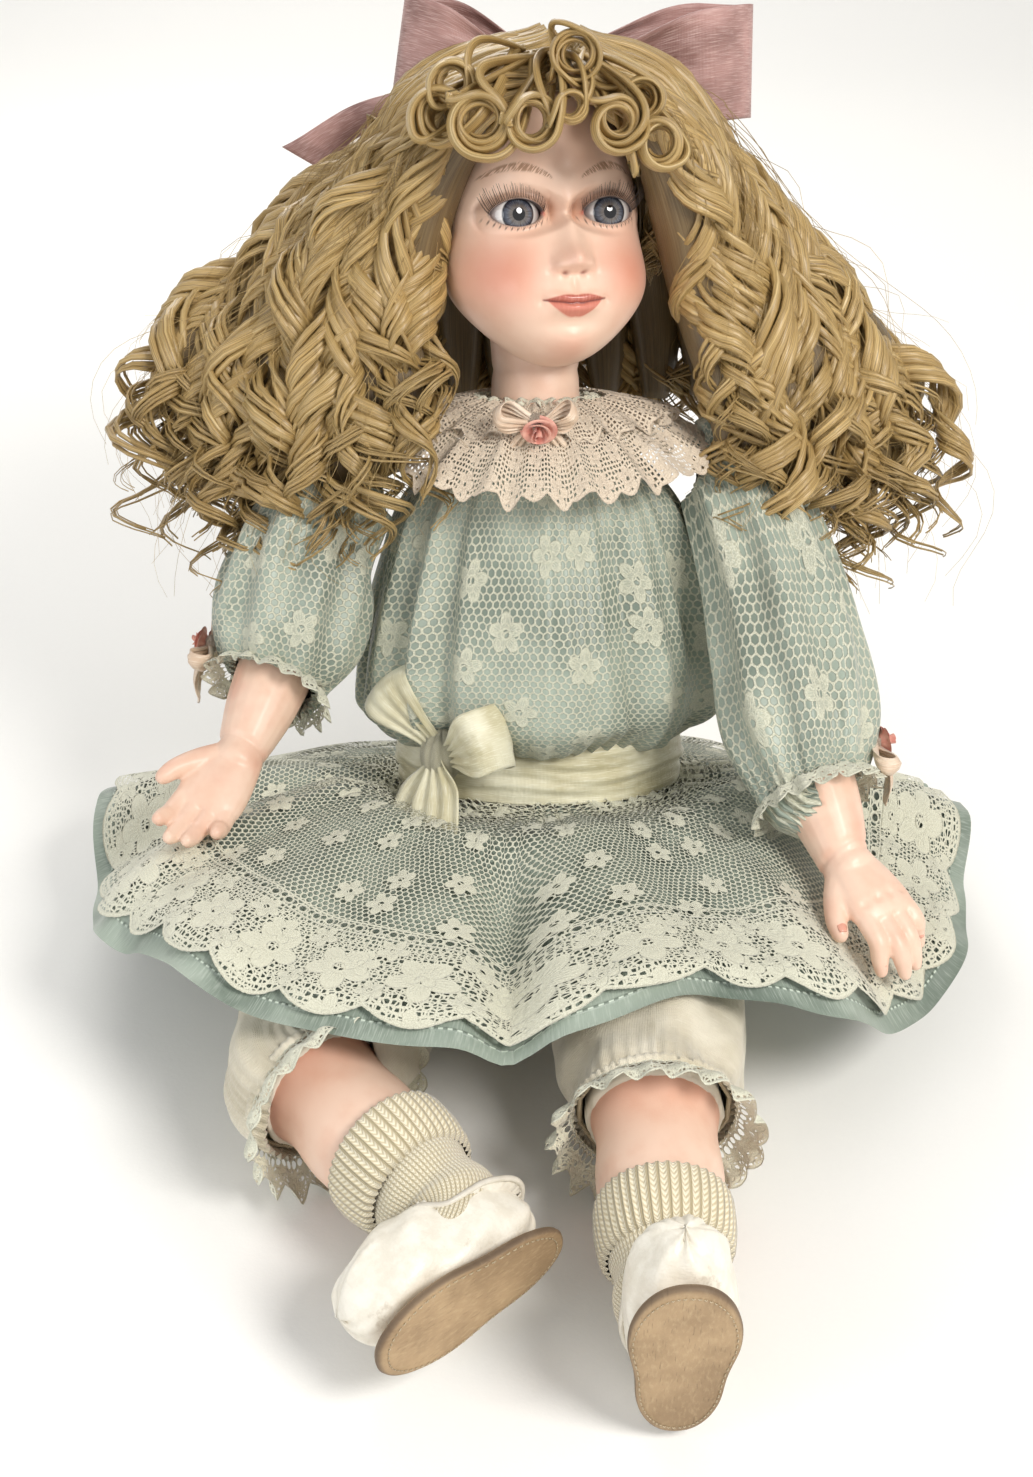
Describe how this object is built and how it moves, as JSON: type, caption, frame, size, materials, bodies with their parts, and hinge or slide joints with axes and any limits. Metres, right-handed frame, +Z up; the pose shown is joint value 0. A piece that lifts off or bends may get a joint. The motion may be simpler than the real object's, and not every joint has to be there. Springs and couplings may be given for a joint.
{
  "type": "porcelain doll",
  "caption": "Seated porcelain doll with long ringlets, a lace dress over satin, a wide collar, sash, pantaloons, socks and shoes; its head, arms and legs swing.",
  "frame": {"origin": "middle of the flat underside of the seat, on the surface the doll sits on", "axes": "+Z up, -Y the way the doll faces and its legs point, +X to the doll's left"},
  "size_m": [0.3648, 0.4683, 0.3565],
  "materials": {
    "bisque": "matt unglazed porcelain, painted",
    "glass_eye": "polished",
    "plaster": "matt",
    "pate_card": "matt",
    "hair": "curled fibre",
    "mauve_satin": "satin",
    "steel": "plain",
    "calico": "plain weave",
    "thread": "waxed cord",
    "mint_satin": "satin",
    "lace": "lace net",
    "eyelet": "eyelet lace",
    "cream_satin": "satin",
    "cotton": "brushed cotton",
    "knit": "ribbed knit",
    "white_leather": "smooth",
    "sole_leather": "smooth"
  },
  "bodies": {
    "torso": {"cloth_body": "calico", "pantaloons_seat": "cotton", "shoulder_plate": "bisque", "neck_washer": "steel", "neck_spring": "steel", "bodice": "mint_satin", "sash": "cream_satin", "sash_bow": "cream_satin", "collar": "eyelet", "neck_trim": "lace", "neck_bow": "cream_satin", "skirt_lining": "mint_satin", "skirt_lace": "lace", "hair_right_front": "hair", "hair_right_side": "hair", "hair_left_front": "hair", "hair_left_side": "hair", "hair_back": "hair"},
    "head": {"neck_bolt": "steel", "neck_nut": "steel", "head_shell": "bisque", "crown_pate": "pate_card", "eye_right": "glass_eye", "eye_left": "glass_eye", "eye_plaster_right": "plaster", "eye_plaster_left": "plaster", "eyelashes_right": "hair", "eyelashes_left": "hair", "wig_cap": "calico", "hair_crown": "hair", "hair_fringe": "hair", "hair_bow": "mauve_satin"},
    "arm_right": {"forearm_right": "bisque", "upper_arm_right": "calico", "arm_tie_right": "thread", "sleeve_right": "mint_satin", "cuff_trim_right": "lace", "cuff_bow_right": "cream_satin"},
    "arm_left": {"forearm_left": "bisque", "upper_arm_left": "calico", "arm_tie_left": "thread", "sleeve_left": "mint_satin", "cuff_trim_left": "lace", "cuff_bow_left": "cream_satin"},
    "leg_right": {"lower_leg_right": "bisque", "thigh_right": "calico", "leg_tie_right": "thread", "pantaloon_right": "cotton", "pantaloon_lace_right": "lace", "sock_right": "knit", "shoe_upper_right": "white_leather", "shoe_sole_right": "sole_leather"},
    "leg_left": {"lower_leg_left": "bisque", "thigh_left": "calico", "leg_tie_left": "thread", "pantaloon_left": "cotton", "pantaloon_lace_left": "lace", "sock_left": "knit", "shoe_upper_left": "white_leather", "shoe_sole_left": "sole_leather"}
  },
  "joints": [
    {"name": "head_turn", "type": "hinge", "parent": "torso", "child": "head", "pos_m": [-0.002, 0.052, 0.203], "axis": [0, 0.3584, 0.9336], "range_deg": [-45, 45], "deforming": ["hair_right_front", "hair_right_side", "hair_left_front", "hair_left_side", "hair_back"]},
    {"name": "shoulder_right", "type": "hinge", "parent": "torso", "child": "arm_right", "pos_m": [-0.0635, 0.047, 0.183], "axis": [-1, 0, 0], "range_deg": [0, 60], "deforming": ["hair_right_front", "hair_right_side"]},
    {"name": "shoulder_left", "type": "hinge", "parent": "torso", "child": "arm_left", "pos_m": [0.0635, 0.047, 0.183], "axis": [-1, 0, 0], "range_deg": [0, 60], "deforming": ["hair_left_front", "hair_left_side"]},
    {"name": "hip_right", "type": "hinge", "parent": "torso", "child": "leg_right", "pos_m": [-0.045, -0.04, 0.0395], "axis": [1, 0, 0], "range_deg": [0, 60]},
    {"name": "hip_left", "type": "hinge", "parent": "torso", "child": "leg_left", "pos_m": [0.045, -0.04, 0.0395], "axis": [1, 0, 0], "range_deg": [0, 60]}
  ]
}
